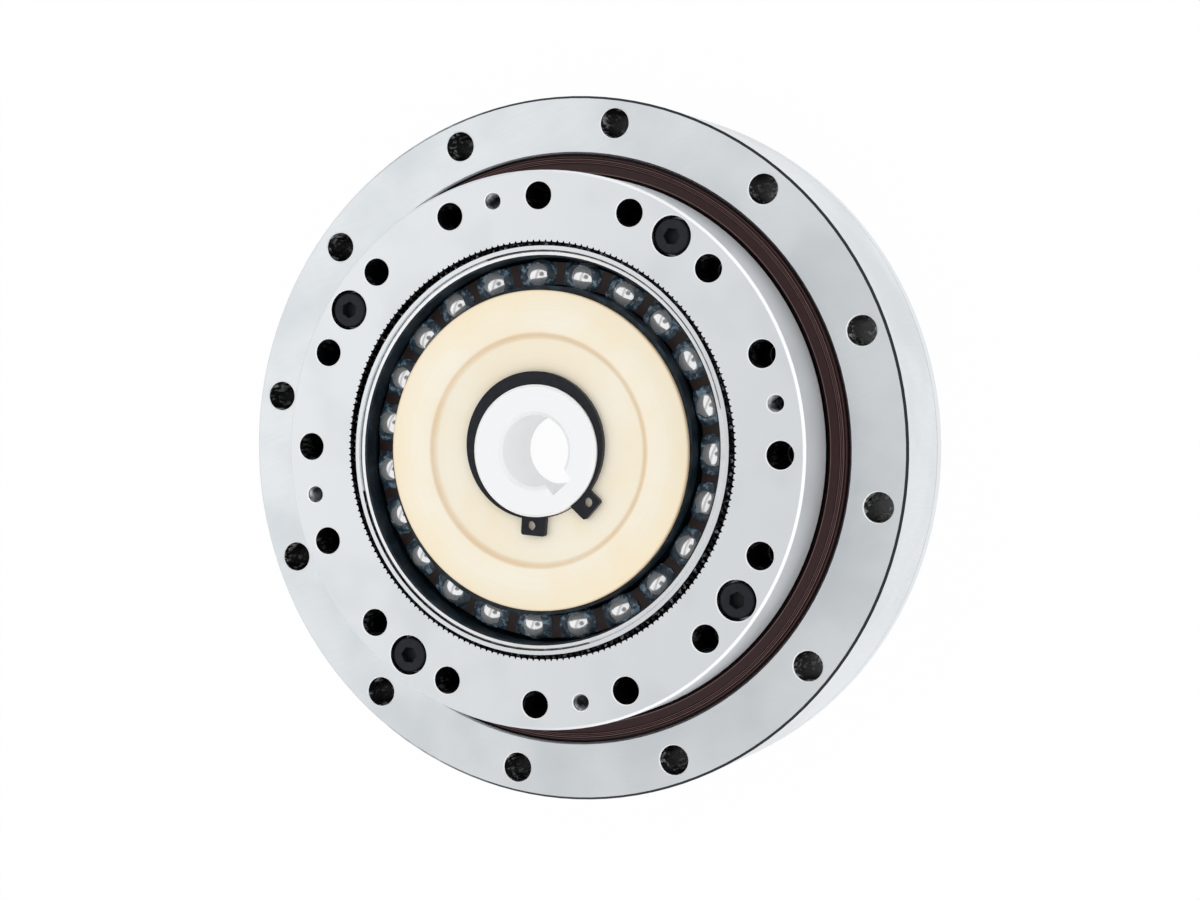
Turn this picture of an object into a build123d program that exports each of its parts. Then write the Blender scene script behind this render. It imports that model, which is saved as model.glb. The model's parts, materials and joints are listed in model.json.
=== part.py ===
from build123d import *
from math import cos, pi, radians, sin, sqrt, tan
import os

# Strain wave gear: a crossed roller bearing carries the circular spline, which is the output.
# A hat-shaped flexspline is fixed with the bearing's outer ring.
# Its toothed rim is pushed out of round by an elliptical wave generator, which is the input.
# Millimetres. +Z is the gear axis and points out of the output face.
# The origin is the centre of the mounting face at the back.

# Body: outer ring of the crossed roller bearing, on the flange of the flexspline
flange_t = 3.0
ring_h = 23.0
ring_edge = 0.5
mount_count = 12
mount_hole_d = 6.0
mount_inside_w = 3.6
mount_outside_w = 2.0
hole_edge = 0.2

# Output: circular spline on the bearing's inner ring
output_d = 110.0
spline_t = 14.0
spline_stand = 0.75
spline_edge = 0.5
output_count = 16
output_hole_d = 5.5
output_outside_w = 2.25
output_tap_d = 4.2
output_tap_depth = 10.0
output_tap_edge = 0.5
jack_count = 4
jack_hole_d = 3.3
jack_spot_depth = 1.0
jack_angle = -9.92
inner_ring_wall = 4.9
inner_ring_gap = 1.6

# Cap screws between circular spline and inner ring
screw_count = 4
screw_d = 4.0
screw_head_d = 7.0
screw_head_h = 4.0
screw_length = 16.0
screw_sink = 0.3
screw_socket = 3.0
screw_socket_depth = 2.0
screw_head_gap = 0.5
screw_end_gap = 0.5

# Countersunk screws between flexspline flange and outer ring
flange_screw_count = 4
flange_screw_d = 3.0
flange_screw_head_d = 5.6
flange_screw_length = 9.0
flange_screw_angle = 15.0
flange_screw_socket = 2.0
flange_screw_socket_depth = 1.1

# Crossed rollers: their circle lies outside the circular spline, and they stand as close as they fit
roller_out = 2.5
roller_d = 6.0
roller_length = 5.7
roller_gap = 0.05
roller_play = 0.4
land_gap = 1.2
spacer_t = 1.0
spacer_side = 5.2

# Filling hole of the roller track, its plug and the plug's pin
filler_over = 0.4
filler_angle = 75.0
filler_pin_d = 2.5
filler_pin_length = 11.0
filler_pin_depth = 4.5

# Shaft seal: a band in the ring's seat and a lip that runs on the land of the inner ring
seal_w = 4.4
seal_seat_edge = 0.4
seal_h = 3.4
seal_land_step = 0.6
seal_lip_gap = 0.05
seal_lip_w = 1.2
seal_lip_drop = 0.9
seal_lip_t = 0.8
seal_web_t = 2.0
seal_band_w = 2.0
seal_band_edge = 0.2
seal_band_drop = 0.1
seal_face_rise = 0.15
seal_floor_gap = 0.7

# Teeth of both splines, cut inside the wall of the circular spline
spline_wall = 13.595
spline_teeth = 202
flex_teeth = 200
flank_angle = 30.0
addendum = 0.35
dedendum = 0.5
tooth_play = 0.02

# Flexspline
rim_t = 0.8
wall_t = 0.75
diaphragm_t = 0.8
diaphragm_z = 1.1
flange_rim_w = 9.0
neck_h = 6.0
neck_fillet = 2.4
flex_tooth_w = 13.4
collar_h = 0.9

# Wave generator: the direction of its long axis at rest, and its flexible ball bearing
wave_angle = 128.0
race_fit = 0.05
race_w = 13.4
race_drop = 0.55
outer_race_wall = 0.678
outer_shoulder_h = 0.622
outer_race_edge = 0.35
inner_race_t = 2.6
inner_shoulder_h = 0.893
inner_race_drop = 0.6
ball_count = 23
ball_angle = -1.95
ball_track_d = 7.144
ball_play = 0.084
cage_side_gap = 0.2
cage_floor = 1.8
cage_pocket_gap = 0.1
cage_finger_h = 1.6

# Cam plug, hub and the coupling between them
plug_lip_w = 1.0
plug_lip_h = 1.0
plug_wall = 6.22
plug_floor_t = 1.5
plug_bore_gap = 0.7
coupling_side_gap = 0.6
insert_t = 4.0
insert_bore_gap = 1.0
hub_flange_t = 3.4
key_w = 6.0
key_h = 2.5
key_gap = 0.1
key_end_gap = 1.0
layer_gap = 0.1
hub_d = 26.0
hub_stand = 1.35
hub_bore_d = 14.0
hub_edge = 0.5
hub_bore_edge = 0.8
keyway_w = 5.0
keyway_depth = 2.3
keyway_angle = 200.0
washer_t = 1.0

# Retainer plate and snap ring
retainer_over = 1.9
retainer_t = 1.0
retainer_step = 0.8
retainer_floor_w = 10.2
retainer_step_w = 0.5
retainer_bore_gap = 0.25
snap_t = 1.2
snap_groove_depth = 0.5
snap_back_w = 3.2
snap_end_w = 0.9
snap_gap_angle = 181.0
snap_gap_half = 13.0
snap_ear_angle = 26.0
snap_ear_h = 4.2
snap_ear_near_w = 3.1
snap_ear_far_w = 2.0
snap_ear_round = 0.6
snap_hole_out = 2.3
snap_hole_d = 1.9

# How far a cutter reaches past the surface that it cuts, and how near two equal radii are
over = 1.0
same = 0.01

# Heights that follow
ring_back_z = flange_t
ring_face_z = ring_back_z + ring_h
spline_back_z = ring_face_z + spline_stand
spline_face_z = spline_back_z + spline_t
inner_ring_back_z = ring_back_z + inner_ring_gap
roller_z = ring_back_z + ring_h / 2
seal_back_z = ring_face_z - seal_h
tooth_front_z = spline_face_z - collar_h
tooth_back_z = tooth_front_z - flex_tooth_w
race_face_z = spline_face_z - race_drop
race_back_z = race_face_z - race_w
ball_z = race_face_z - race_w / 2
inner_race_face_z = race_face_z - inner_race_drop
retainer_face_z = inner_race_face_z + retainer_t
retainer_floor_z = retainer_face_z - retainer_step
washer_top_z = retainer_floor_z - retainer_t - layer_gap
hub_flange_top_z = washer_top_z - washer_t - layer_gap
hub_flange_back_z = hub_flange_top_z - hub_flange_t
insert_top_z = hub_flange_back_z - layer_gap
insert_back_z = insert_top_z - insert_t
plug_floor_z = insert_back_z - layer_gap
plug_back_z = min(race_back_z - plug_lip_h, plug_floor_z - key_h - key_gap - plug_floor_t)
hub_top_z = spline_face_z + hub_stand

# Radii that follow, from the output's outside outwards to the body
output_r = output_d / 2
output_circle_r = output_r - output_outside_w - output_hole_d / 2
inner_ring_bore_r = output_circle_r - output_tap_d / 2 - inner_ring_wall
seal_land_r = output_r - seal_land_step
seal_seat_r = output_r + seal_w
mount_circle_r = seal_seat_r + mount_inside_w + mount_hole_d / 2
body_r = mount_circle_r + mount_hole_d / 2 + mount_outside_w
roller_r = output_r + roller_out
land_in_r = roller_r - land_gap / 2
land_out_r = roller_r + land_gap / 2
track_side = roller_d + 2 * roller_gap
roller_pairs = int(pi * roller_r / (roller_d + spacer_t + roller_play))
filler_r = (sqrt(2) * track_side + filler_over) / 2

# Radii that follow, from the output's outside inwards through the teeth to the cam plug
spline_pitch_r = output_r - spline_wall - dedendum
module = 2 * spline_pitch_r / spline_teeth
flex_pitch_r = module * flex_teeth / 2
flex = spline_pitch_r - flex_pitch_r
spline_tip_r = spline_pitch_r - addendum
flex_root_r = flex_pitch_r - dedendum
rim_inner_r = flex_root_r - rim_t
outer_race_r = rim_inner_r - race_fit
outer_race_bore_r = outer_race_r - outer_race_wall - outer_shoulder_h
track_r = ball_track_d / 2
ball_r = outer_race_r - outer_race_wall - track_r
ball_d = ball_track_d - 2 * flex - ball_play
inner_race_r = ball_r - track_r + inner_shoulder_h
inner_race_bore_r = inner_race_r - inner_race_t
plug_recess_r = inner_race_bore_r - plug_wall
insert_r = plug_recess_r - coupling_side_gap

# Radii that follow, from the hub outwards to the coupling and the retainer plate
hub_r = hub_d / 2
hub_bore_r = hub_bore_d / 2
groove_r = hub_r - snap_groove_depth
insert_bore_r = hub_r + insert_bore_gap
key_reach = (insert_r + insert_bore_r) / 2
key_length = insert_r - insert_bore_r - key_end_gap
retainer_bore_r = hub_r + retainer_bore_gap
step_r = hub_r + retainer_floor_w

# Directions of the hole patterns of the output, turned half a space from each other
screw_angle = jack_angle + 180 / screw_count
output_hole_angle = jack_angle + 180 / output_count


def wave_plane(height):
    """Level plane whose X axis is the long axis of the wave generator at rest."""
    return Plane.XY.offset(height).rotated((0, 0, wave_angle))


def half_width(above_pitch, play):
    """Half the width of a tooth at a height above its pitch line."""
    return pi * module / 4 - play - above_pitch * tan(radians(flank_angle))


def flexed_place(angle):
    """Place and turn of a tooth root on the rim when it is pushed out of round."""
    turn = radians(angle)
    radial = flex_root_r + flex * cos(2 * turn)
    along = -flex / 2 * sin(2 * turn)
    tilt = (along + 2 * flex * sin(2 * turn)) / flex_pitch_r
    across_x = radial * cos(turn) - along * sin(turn)
    across_y = radial * sin(turn) + along * cos(turn)
    return Location((across_x, across_y, 0), (0, 0, angle + tilt * 180 / pi))


# Square roller track, stood on its corner, that both bearing rings share
with BuildSketch(Plane.XZ) as roller_track:
    with Locations((roller_r, roller_z)):
        Rectangle(track_side, track_side, rotation=45)

# Outer ring before its holes: the blank that the filling plug is ground flush with
with BuildPart() as ring_blank:
    with BuildSketch(Plane.XZ):
        with BuildLine():
            Polyline(
                (land_out_r, ring_back_z),
                (body_r, ring_back_z),
                (body_r, ring_face_z),
                (seal_seat_r, ring_face_z),
                (seal_seat_r, seal_back_z),
                (land_out_r, seal_back_z),
                close=True,
            )
        make_face()
    revolve(axis=Axis.Z)
    rims = ring_blank.edges().filter_by(GeomType.CIRCLE)
    outside = rims.filter_by(lambda rim: abs(rim.radius - body_r) < same)
    chamfer(outside, ring_edge)
    mouth = ring_blank.edges().filter_by(GeomType.CIRCLE).group_by(Axis.Z)[-1].sort_by(SortBy.RADIUS)[0]
    chamfer(mouth, seal_seat_edge)
    revolve(roller_track.sketch, axis=Axis.Z, mode=Mode.SUBTRACT)

# Radial plane of the roller filling hole, and the place of the pin across it
filler_plane = Plane(
    origin=(0, 0, roller_z),
    z_dir=(cos(radians(filler_angle)), sin(radians(filler_angle)), 0),
)
filler_pin_r = body_r - filler_pin_depth
filler_pin_place = (
    filler_pin_r * cos(radians(filler_angle)),
    filler_pin_r * sin(radians(filler_angle)),
)

# Outer ring, fixed part of the crossed roller bearing
with BuildPart() as outer_ring:
    add(ring_blank.part)
    with BuildSketch(Plane.XY.offset(ring_face_z)):
        with PolarLocations(mount_circle_r, mount_count):
            Circle(mount_hole_d / 2)
    extrude(amount=-ring_h, mode=Mode.SUBTRACT)
    mouths = outer_ring.edges().filter_by(GeomType.CIRCLE).group_by(Axis.Z)[-1]
    chamfer(mouths.filter_by(lambda rim: abs(rim.radius - mount_hole_d / 2) < same), hole_edge)
    with BuildSketch(Plane.XY.offset(ring_back_z)):
        with PolarLocations(mount_circle_r, flange_screw_count, start_angle=flange_screw_angle):
            Circle(flange_screw_d / 2)
    extrude(amount=flange_screw_length - flange_t, mode=Mode.SUBTRACT)
    with BuildSketch(filler_plane):
        Circle(filler_r)
    extrude(amount=body_r + over, mode=Mode.SUBTRACT)
    with BuildSketch(Plane.XY.offset(ring_back_z)):
        with Locations(filler_pin_place):
            Circle(filler_pin_d / 2)
    extrude(amount=filler_pin_length, mode=Mode.SUBTRACT)
outer_ring.part.label = "outer_ring"

# Filling plug: a round plug whose ends carry on the ring's outside and the roller track
with BuildPart() as filler_plug:
    with BuildSketch(filler_plane):
        Circle(filler_r)
    extrude(amount=body_r + over)
    add(ring_blank.part, mode=Mode.INTERSECT)
    with BuildSketch(Plane.XY.offset(ring_back_z)):
        with Locations(filler_pin_place):
            Circle(filler_pin_d / 2)
    extrude(amount=filler_pin_length, mode=Mode.SUBTRACT)
filler_plug.part.label = "filler_plug"

with BuildPart() as filler_pin:
    with BuildSketch(Plane.XY.offset(ring_back_z)):
        with Locations(filler_pin_place):
            Circle(filler_pin_d / 2)
    extrude(amount=filler_pin_length)
filler_pin.part.label = "filler_pin"

# Shaft seal: a rim in the ring's seat, a raised face and a lip that slopes down to the inner ring
lip_r = seal_land_r + seal_lip_gap
band_r = seal_seat_r - seal_band_w
with BuildPart() as oil_seal:
    with BuildSketch(Plane.XZ):
        with BuildLine():
            Polyline(
                (seal_seat_r, seal_back_z),
                (seal_seat_r, ring_face_z - seal_seat_edge),
                (seal_seat_r - seal_band_edge, ring_face_z - seal_band_drop),
                (band_r + seal_band_edge, ring_face_z - seal_band_drop),
                (band_r, ring_face_z + seal_face_rise),
                (lip_r + seal_lip_w, ring_face_z + seal_face_rise),
                (lip_r, ring_face_z - seal_lip_drop),
                (lip_r + seal_lip_w, ring_face_z - seal_lip_drop - seal_lip_t),
                (band_r, ring_face_z - seal_web_t),
                (band_r, seal_back_z),
                close=True,
            )
        make_face()
    revolve(axis=Axis.Z)
oil_seal.part.label = "oil_seal"

# Inner ring, turning part of the crossed roller bearing
with BuildPart() as bearing_inner_ring:
    with BuildSketch(Plane.XZ):
        with BuildLine():
            Polyline(
                (inner_ring_bore_r, inner_ring_back_z),
                (land_in_r, inner_ring_back_z),
                (land_in_r, seal_back_z - seal_floor_gap),
                (seal_land_r, seal_back_z - seal_floor_gap),
                (seal_land_r, spline_back_z),
                (inner_ring_bore_r, spline_back_z),
                close=True,
            )
        make_face()
    revolve(axis=Axis.Z)
    revolve(roller_track.sketch, axis=Axis.Z, mode=Mode.SUBTRACT)
    with BuildSketch(Plane.XY.offset(spline_back_z)):
        with PolarLocations(output_circle_r, output_count, start_angle=output_hole_angle):
            Circle(output_tap_d / 2)
    extrude(amount=-output_tap_depth, mode=Mode.SUBTRACT)
    taps = bearing_inner_ring.edges().filter_by(GeomType.CIRCLE).group_by(Axis.Z)[-1]
    chamfer(taps.filter_by(lambda rim: rim.radius < output_tap_d), output_tap_edge)
    with BuildSketch(Plane.XY.offset(spline_back_z)):
        with PolarLocations(output_circle_r, jack_count, start_angle=jack_angle):
            Circle(jack_hole_d / 2)
    extrude(amount=-jack_spot_depth, mode=Mode.SUBTRACT)
    with BuildSketch(Plane.XY.offset(spline_back_z)):
        with PolarLocations(output_circle_r, screw_count, start_angle=screw_angle):
            Circle(screw_d / 2)
    screw_reach = screw_length + screw_head_h + screw_sink - spline_t
    extrude(amount=-(screw_reach + screw_end_gap), mode=Mode.SUBTRACT)
bearing_inner_ring.part.label = "bearing_inner_ring"

# Crossed rollers, every other one leaning the other way, and the spacers between them
roller_step = 180 / roller_pairs
roller_plane = Plane.XY.offset(roller_z)
with BuildPart(roller_plane) as cross_rollers_a:
    with PolarLocations(roller_r, roller_pairs):
        Cylinder(roller_d / 2, roller_length, rotation=(0, 45, 0))
cross_rollers_a.part.label = "cross_rollers_a"

with BuildPart(roller_plane) as cross_rollers_b:
    with PolarLocations(roller_r, roller_pairs, start_angle=roller_step):
        Cylinder(roller_d / 2, roller_length, rotation=(0, -45, 0))
cross_rollers_b.part.label = "cross_rollers_b"

with BuildPart(roller_plane) as roller_spacers:
    with PolarLocations(roller_r, 2 * roller_pairs, start_angle=roller_step / 2):
        Box(spacer_side, spacer_t, spacer_side, rotation=(0, 45, 0))
roller_spacers.part.label = "roller_spacers"

# Circular spline: tooth spaces cut all round its bore
with BuildPart() as circular_spline:
    with BuildSketch(Plane.XY.offset(spline_back_z)):
        Circle(output_r)
        Circle(spline_tip_r, mode=Mode.SUBTRACT)
    extrude(amount=spline_t)
    rims = circular_spline.edges().filter_by(GeomType.CIRCLE)
    chamfer(rims.filter_by(lambda rim: abs(rim.radius - output_r) < same), spline_edge)
    with BuildSketch(Plane.XY.offset(spline_face_z)):
        with PolarLocations(output_circle_r, output_count, start_angle=output_hole_angle):
            Circle(output_hole_d / 2)
        with PolarLocations(output_circle_r, jack_count, start_angle=jack_angle):
            Circle(jack_hole_d / 2)
    extrude(amount=-spline_t, mode=Mode.SUBTRACT)
    with Locations(Plane.XY.offset(spline_face_z)):
        with PolarLocations(output_circle_r, screw_count, start_angle=screw_angle):
            CounterBoreHole(
                radius=screw_d / 2,
                counter_bore_radius=screw_head_d / 2 + screw_head_gap,
                counter_bore_depth=screw_head_h + screw_sink,
                depth=spline_t,
            )
    drilled = circular_spline.edges().filter_by(GeomType.CIRCLE).group_by(Axis.Z)[-1]
    chamfer(drilled.filter_by(lambda rim: rim.radius < output_hole_d), hole_edge)
    with BuildSketch(Plane.XY.offset(spline_back_z)):
        with PolarLocations(spline_pitch_r, spline_teeth, start_angle=wave_angle):
            Polygon(
                (-2 * addendum, -half_width(-addendum, 0)),
                (-addendum, -half_width(-addendum, 0)),
                (dedendum, -half_width(dedendum, 0)),
                (dedendum, half_width(dedendum, 0)),
                (-addendum, half_width(-addendum, 0)),
                (-2 * addendum, half_width(-addendum, 0)),
                align=None,
            )
    extrude(amount=spline_t, mode=Mode.SUBTRACT)
circular_spline.part.label = "circular_spline"

# Cap screws that hold the circular spline to the inner ring
with BuildPart() as spline_screws:
    with BuildSketch(Plane.XY.offset(spline_face_z - screw_sink)):
        with PolarLocations(output_circle_r, screw_count, start_angle=screw_angle):
            Circle(screw_head_d / 2)
    extrude(amount=-screw_head_h)
    head_rims = spline_screws.edges().filter_by(GeomType.CIRCLE).group_by(Axis.Z)[-1]
    chamfer(head_rims, screw_sink)
    with BuildSketch(Plane.XY.offset(spline_face_z - screw_sink - screw_head_h)):
        with PolarLocations(output_circle_r, screw_count, start_angle=screw_angle):
            Circle(screw_d / 2)
    extrude(amount=-screw_length)
    with BuildSketch(Plane.XY.offset(spline_face_z - screw_sink)):
        with PolarLocations(output_circle_r, screw_count, start_angle=screw_angle):
            RegularPolygon(screw_socket / sqrt(3), 6)
    extrude(amount=-screw_socket_depth, mode=Mode.SUBTRACT)
spline_screws.part.label = "spline_screws"

# Flexspline: toothed rim, thin wall that turns round again, diaphragm and clamped flange
neck_z = flange_t + neck_h
wall_inner_r = rim_inner_r
wall_outer_r = wall_inner_r + wall_t
diaphragm_top_z = diaphragm_z + diaphragm_t
flange_rim_r = body_r - flange_rim_w
with BuildPart() as flexspline:
    with BuildSketch(Plane.XZ) as hat_section:
        with BuildLine():
            Polyline(
                (wall_inner_r, neck_z),
                (wall_outer_r, neck_z),
                (wall_outer_r, diaphragm_top_z),
                (flange_rim_r, diaphragm_top_z),
                (flange_rim_r, flange_t),
                (body_r, flange_t),
                (body_r, 0),
                (flange_rim_r, 0),
                (flange_rim_r, diaphragm_z),
                (wall_inner_r, diaphragm_z),
                close=True,
            )
        make_face()
        neck_corner = hat_section.vertices().sort_by_distance((wall_outer_r, diaphragm_top_z))[0]
        fillet(neck_corner, neck_fillet)
        root_corner = hat_section.vertices().sort_by_distance((wall_inner_r, diaphragm_z))[0]
        fillet(root_corner, neck_fillet / 2)
    revolve(axis=Axis.Z)
    with BuildSketch(Plane.XY):
        with PolarLocations(mount_circle_r, mount_count):
            Circle(mount_hole_d / 2)
    extrude(amount=flange_t, mode=Mode.SUBTRACT)
    with Locations(Plane.XY.rotated((180, 0, 0))):
        with PolarLocations(mount_circle_r, flange_screw_count, start_angle=-flange_screw_angle):
            CounterSinkHole(
                radius=flange_screw_d / 2,
                counter_sink_radius=flange_screw_head_d / 2,
                depth=flange_t,
                counter_sink_angle=90,
            )
    with BuildSketch(wave_plane(neck_z)):
        Circle(wall_outer_r)
    with BuildSketch(wave_plane(tooth_back_z)):
        Ellipse(wall_outer_r + flex, wall_outer_r - flex)
    loft()
    with BuildSketch(wave_plane(neck_z)):
        Circle(wall_inner_r)
    with BuildSketch(wave_plane(tooth_back_z)):
        Ellipse(wall_inner_r + flex, wall_inner_r - flex)
    loft(mode=Mode.SUBTRACT)
    with BuildSketch(wave_plane(tooth_front_z)):
        Ellipse(flex_root_r + flex, flex_root_r - flex)
        Ellipse(rim_inner_r + flex, rim_inner_r - flex, mode=Mode.SUBTRACT)
    extrude(amount=collar_h)
    with BuildSketch(wave_plane(tooth_back_z)):
        Ellipse(flex_root_r + flex, flex_root_r - flex)
        with Locations(*[flexed_place(360 * tooth / flex_teeth) for tooth in range(flex_teeth)]):
            Polygon(
                (-rim_t / 4, -half_width(-dedendum, tooth_play)),
                (0, -half_width(-dedendum, tooth_play)),
                (addendum + dedendum, -half_width(addendum, tooth_play)),
                (addendum + dedendum, half_width(addendum, tooth_play)),
                (0, half_width(-dedendum, tooth_play)),
                (-rim_t / 4, half_width(-dedendum, tooth_play)),
                align=None,
            )
        Ellipse(rim_inner_r + flex, rim_inner_r - flex, mode=Mode.SUBTRACT)
    extrude(amount=flex_tooth_w)
flexspline.part.label = "flexspline"

# Countersunk screws of the flange
with BuildPart() as flange_screws:
    with PolarLocations(mount_circle_r, flange_screw_count, start_angle=flange_screw_angle):
        Cylinder(
            flange_screw_d / 2,
            flange_screw_length,
            align=(Align.CENTER, Align.CENTER, Align.MIN),
        )
        Cone(
            flange_screw_head_d / 2,
            flange_screw_d / 2,
            (flange_screw_head_d - flange_screw_d) / 2,
            align=(Align.CENTER, Align.CENTER, Align.MIN),
        )
    with BuildSketch(Plane.XY):
        with PolarLocations(mount_circle_r, flange_screw_count, start_angle=flange_screw_angle):
            RegularPolygon(flange_screw_socket / sqrt(3), 6)
    extrude(amount=flange_screw_socket_depth, mode=Mode.SUBTRACT)
flange_screws.part.label = "flange_screws"

# Ball track of the flexible bearing: a round section carried along the flexed ball circle
with BuildPart() as ball_track:
    with BuildLine(wave_plane(ball_z)) as ball_path:
        EllipticalCenterArc((0, 0), ball_r + flex, ball_r - flex, arc_size=360)
    with BuildSketch(Plane(origin=ball_path.line @ 0, z_dir=ball_path.line % 0)):
        Circle(track_r)
    sweep(path=ball_path.line)

with BuildPart() as bearing_outer_race:
    with BuildSketch(wave_plane(race_back_z)):
        Ellipse(outer_race_r + flex, outer_race_r - flex)
        Ellipse(outer_race_bore_r + flex, outer_race_bore_r - flex, mode=Mode.SUBTRACT)
    extrude(amount=race_w)
    chamfer(bearing_outer_race.edges().group_by(Axis.Z)[-1], outer_race_edge)
    add(ball_track.part, mode=Mode.SUBTRACT)
bearing_outer_race.part.label = "bearing_outer_race"

with BuildPart() as bearing_inner_race:
    with BuildSketch(wave_plane(race_back_z)):
        Ellipse(inner_race_r + flex, inner_race_r - flex)
        Ellipse(inner_race_bore_r + flex, inner_race_bore_r - flex, mode=Mode.SUBTRACT)
    extrude(amount=inner_race_face_z - race_back_z)
    add(ball_track.part, mode=Mode.SUBTRACT)
bearing_inner_race.part.label = "bearing_inner_race"

# Balls, smaller than their track by what the track is out of round, so that a round set can turn
ball_plane = Plane.XY.offset(ball_z)
with BuildPart(ball_plane) as bearing_balls:
    with PolarLocations(ball_r, ball_count, start_angle=ball_angle):
        Sphere(ball_d / 2)
bearing_balls.part.label = "bearing_balls"

# Comb-shaped cage: a ring behind the balls, whose fingers close round each ball past its middle
cage_bore_r = inner_race_r + flex + cage_side_gap
cage_r = outer_race_bore_r - flex - cage_side_gap
cage_back_z = ball_z - ball_d / 2 - cage_floor
cage_front_z = ball_z + cage_finger_h
with BuildPart() as ball_cage:
    with BuildSketch(Plane.XY.offset(cage_back_z)):
        Circle(cage_r)
        Circle(cage_bore_r, mode=Mode.SUBTRACT)
    extrude(amount=cage_front_z - cage_back_z)
    with PolarLocations(0, ball_count, start_angle=ball_angle):
        with Locations((ball_r, 0, ball_z)):
            Cylinder(
                ball_d / 2 + cage_pocket_gap,
                2 * track_r,
                rotation=(0, 90, 0),
                mode=Mode.SUBTRACT,
            )
ball_cage.part.label = "ball_cage"

# Cam plug: an oval seat for the inner race, a lip behind it and a recess for the coupling
with BuildPart() as cam_plug:
    with BuildSketch(wave_plane(race_back_z)):
        Ellipse(inner_race_bore_r + flex, inner_race_bore_r - flex)
    extrude(amount=inner_race_face_z - race_back_z)
    with BuildSketch(wave_plane(race_back_z)):
        Ellipse(inner_race_bore_r + plug_lip_w + flex, inner_race_bore_r + plug_lip_w - flex)
    extrude(amount=plug_back_z - race_back_z)
    with BuildSketch(Plane.XY.offset(plug_floor_z)):
        Circle(plug_recess_r)
    extrude(amount=inner_race_face_z - plug_floor_z, mode=Mode.SUBTRACT)
    with BuildSketch(wave_plane(plug_floor_z)):
        Rectangle(2 * plug_recess_r, key_w + 2 * key_gap)
    extrude(amount=-(key_h + key_gap), mode=Mode.SUBTRACT)
    with BuildSketch(Plane.XY.offset(plug_back_z)):
        Circle(hub_r + plug_bore_gap)
    extrude(amount=inner_race_face_z - plug_back_z, mode=Mode.SUBTRACT)
cam_plug.part.label = "cam_plug"

# Coupling ring: keys behind it slide in the plug, slots in front take the keys of the hub
with BuildPart() as oldham_insert:
    with BuildSketch(Plane.XY.offset(insert_back_z)):
        Circle(insert_r)
        Circle(insert_bore_r, mode=Mode.SUBTRACT)
    extrude(amount=insert_t)
    with BuildSketch(wave_plane(insert_back_z)):
        with Locations((key_reach, 0), (-key_reach, 0)):
            Rectangle(key_length, key_w)
    extrude(amount=-key_h)
    with BuildSketch(wave_plane(insert_top_z)):
        Rectangle(key_w + 2 * key_gap, 2 * (insert_r + over))
    extrude(amount=-(key_h + key_gap), mode=Mode.SUBTRACT)
oldham_insert.part.label = "oldham_insert"

# Input hub: sleeve with keyed bore, snap ring groove, and a flange with two keys behind it
snap_floor_z = retainer_floor_z
with BuildPart() as input_hub:
    with BuildSketch(Plane.XY.offset(race_back_z)):
        Circle(hub_r)
    extrude(amount=hub_top_z - race_back_z)
    with BuildSketch(Plane.XY.offset(hub_flange_back_z)):
        Circle(insert_r)
    extrude(amount=hub_flange_t)
    with BuildSketch(wave_plane(hub_flange_back_z)):
        with Locations((0, key_reach), (0, -key_reach)):
            Rectangle(key_w, key_length)
    extrude(amount=-key_h)
    chamfer(input_hub.edges().filter_by(GeomType.CIRCLE).group_by(Axis.Z)[-1], hub_edge)
    with BuildSketch(Plane.XY.offset(snap_floor_z)):
        Circle(hub_r + over)
        Circle(groove_r, mode=Mode.SUBTRACT)
    extrude(amount=snap_t, mode=Mode.SUBTRACT)
    with BuildSketch(Plane.XY.offset(hub_top_z)):
        Circle(hub_bore_r)
    extrude(amount=race_back_z - hub_top_z, mode=Mode.SUBTRACT)
    bore_rims = input_hub.edges().filter_by(GeomType.CIRCLE)
    chamfer(bore_rims.filter_by(lambda rim: abs(rim.radius - hub_bore_r) < same), hub_bore_edge)
    keyway_r = hub_bore_r + keyway_depth
    with BuildSketch(Plane.XY.offset(hub_top_z).rotated((0, 0, keyway_angle))):
        with Locations((keyway_r / 2, 0)):
            Rectangle(keyway_r, keyway_w)
    extrude(amount=race_back_z - hub_top_z, mode=Mode.SUBTRACT)
input_hub.part.label = "input_hub"

with BuildPart() as rub_washer:
    with BuildSketch(Plane.XY.offset(washer_top_z - washer_t)):
        Circle(insert_r)
        Circle(retainer_bore_r, mode=Mode.SUBTRACT)
    extrude(amount=washer_t)
rub_washer.part.label = "rub_washer"

# Retainer plate: a pressed disc whose middle is set down towards the coupling
retainer_r = inner_race_bore_r + retainer_over
with BuildPart() as retainer_plate:
    with BuildSketch(Plane.XZ):
        with BuildLine():
            Polyline(
                (retainer_bore_r, retainer_floor_z - retainer_t),
                (step_r - retainer_step_w, retainer_floor_z - retainer_t),
                (step_r, retainer_face_z - retainer_t),
                (retainer_r, retainer_face_z - retainer_t),
                (retainer_r, retainer_face_z),
                (step_r, retainer_face_z),
                (step_r - retainer_step_w, retainer_floor_z),
                (retainer_bore_r, retainer_floor_z),
                close=True,
            )
        make_face()
    revolve(axis=Axis.Z)
retainer_plate.part.label = "retainer_plate"

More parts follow.
